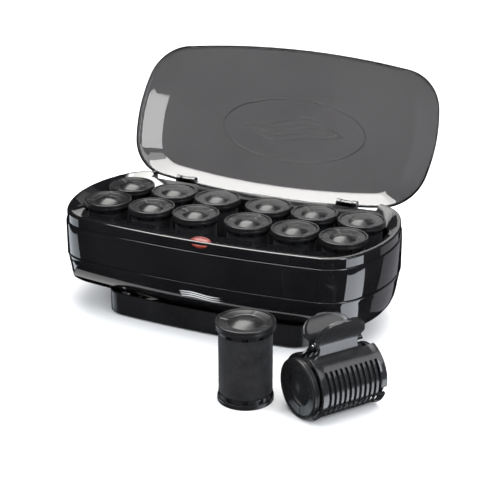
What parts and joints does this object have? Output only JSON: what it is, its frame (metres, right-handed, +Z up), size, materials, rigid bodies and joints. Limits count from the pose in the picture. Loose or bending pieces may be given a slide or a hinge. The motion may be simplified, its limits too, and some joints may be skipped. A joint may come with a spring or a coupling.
{
  "type": "heated roller set",
  "caption": "Heated hair roller set: gloss case with flocked rollers on heating posts under an open smoke lid, plus a loose roller and one held in a comb clip.",
  "frame": {"origin": "on the resting surface, under the middle of the case, at its middle foot", "axes": "+X along the case to its right end, +Y to the back where the lid is hinged, +Z up"},
  "size_m": [0.3595, 0.3482, 0.2137],
  "materials": {
    "gloss_black": "polished piano black",
    "matte_black": "fine moulded texture",
    "smoke_plastic": "smoke grey, clear gloss",
    "satin_black": "satin moulded",
    "clip_black": "semi gloss moulded",
    "flock": "short nylon flock",
    "red_lens": "translucent red",
    "lamp_glass": "clear glass bulb",
    "rubber": "soft moulded",
    "steel": "plated",
    "aluminium": "die cast, satin",
    "element_foil": "foil heating strip",
    "mica": "mica sheet",
    "white_ceramic": "ceramic",
    "wire_sleeve": "silicone insulated wire"
  },
  "bodies": {
    "case": {"upper_housing": "gloss_black", "lower_housing": "gloss_black", "pedestal": "gloss_black", "base_plate": "matte_black", "rubber_feet": "rubber", "base_screws": "steel", "deck": "gloss_black", "indicator_lens": "red_lens", "indicator_lamp": "lamp_glass", "hinge_tray": "gloss_black", "hinge_pins": "steel", "heater_plate": "aluminium", "heating_posts": "aluminium", "heating_element": "element_foil", "insulation_sheet": "mica", "thermostat": "steel", "thermal_fuse": "white_ceramic", "terminal_block": "white_ceramic", "wiring_loom": "wire_sleeve", "cord_inlet": "rubber"},
    "lid": {"lid": "smoke_plastic"},
    "roller_01": {"roller_01_core": "satin_black", "roller_01_sleeve": "flock"},
    "roller_02": {"roller_02_core": "satin_black", "roller_02_sleeve": "flock"},
    "roller_03": {"roller_03_core": "satin_black", "roller_03_sleeve": "flock"},
    "roller_04": {"roller_04_core": "satin_black", "roller_04_sleeve": "flock"},
    "roller_05": {"roller_05_core": "satin_black", "roller_05_sleeve": "flock"},
    "roller_06": {"roller_06_core": "satin_black", "roller_06_sleeve": "flock"},
    "roller_07": {"roller_07_core": "satin_black", "roller_07_sleeve": "flock"},
    "roller_08": {"roller_08_core": "satin_black", "roller_08_sleeve": "flock"},
    "roller_09": {"roller_09_core": "satin_black", "roller_09_sleeve": "flock"},
    "roller_10": {"roller_10_core": "satin_black", "roller_10_sleeve": "flock"},
    "roller_11": {"roller_11_core": "satin_black", "roller_11_sleeve": "flock"},
    "roller_12": {"roller_12_core": "satin_black", "roller_12_sleeve": "flock"},
    "standing_roller": {"standing_roller_core": "satin_black", "standing_roller_cap": "satin_black", "standing_roller_sleeve": "flock"},
    "clip": {"clip_back_jaw": "clip_black", "clip_pin": "steel", "clip_spring": "steel"},
    "clip_front": {"clip_front_jaw": "clip_black"},
    "clipped_roller": {"clipped_roller_core": "satin_black", "clipped_roller_cap": "satin_black", "clipped_roller_sleeve": "flock"}
  },
  "joints": [
    {"name": "lid_hinge", "type": "hinge", "parent": "case", "child": "lid", "pos_m": [0, 0.074, 0.09], "axis": [-1, 0, 0], "range_deg": [-120, 0]},
    {"name": "roller_01_lift", "type": "slide", "parent": "case", "child": "roller_01", "axis": [0, 0, 1], "range_m": [0, 0.075]},
    {"name": "roller_02_lift", "type": "slide", "parent": "case", "child": "roller_02", "axis": [0, 0, 1], "range_m": [0, 0.075]},
    {"name": "roller_03_lift", "type": "slide", "parent": "case", "child": "roller_03", "axis": [0, 0, 1], "range_m": [0, 0.075]},
    {"name": "roller_04_lift", "type": "slide", "parent": "case", "child": "roller_04", "axis": [0, 0, 1], "range_m": [0, 0.075]},
    {"name": "roller_05_lift", "type": "slide", "parent": "case", "child": "roller_05", "axis": [0, 0, 1], "range_m": [0, 0.075]},
    {"name": "roller_06_lift", "type": "slide", "parent": "case", "child": "roller_06", "axis": [0, 0, 1], "range_m": [0, 0.075]},
    {"name": "roller_07_lift", "type": "slide", "parent": "case", "child": "roller_07", "axis": [0, 0, 1], "range_m": [0, 0.075]},
    {"name": "roller_08_lift", "type": "slide", "parent": "case", "child": "roller_08", "axis": [0, 0, 1], "range_m": [0, 0.075]},
    {"name": "roller_09_lift", "type": "slide", "parent": "case", "child": "roller_09", "axis": [0, 0, 1], "range_m": [0, 0.075]},
    {"name": "roller_10_lift", "type": "slide", "parent": "case", "child": "roller_10", "axis": [0, 0, 1], "range_m": [0, 0.075]},
    {"name": "roller_11_lift", "type": "slide", "parent": "case", "child": "roller_11", "axis": [0, 0, 1], "range_m": [0, 0.075]},
    {"name": "roller_12_lift", "type": "slide", "parent": "case", "child": "roller_12", "axis": [0, 0, 1], "range_m": [0, 0.075]},
    {"name": "standing_roller_lift", "type": "slide", "parent": "case", "child": "standing_roller", "axis": [0, 0, 1], "range_m": [0, 0.08]},
    {"name": "clip_lift", "type": "slide", "parent": "case", "child": "clip", "axis": [0, 0, 1], "range_m": [0, 0.08]},
    {"name": "clip_squeeze", "type": "hinge", "parent": "clip", "child": "clip_front", "pos_m": [0.16077, -0.14701, 0.058], "axis": [-0.5592, -0.829, 0], "range_deg": [0, 28], "stiffness_Nm_per_rad": 0.04, "springref_deg": -22.92},
    {"name": "clipped_roller_slide", "type": "slide", "parent": "clip", "child": "clipped_roller", "axis": [0.5592, 0.829, 0], "range_m": [0, 0.075]}
  ]
}
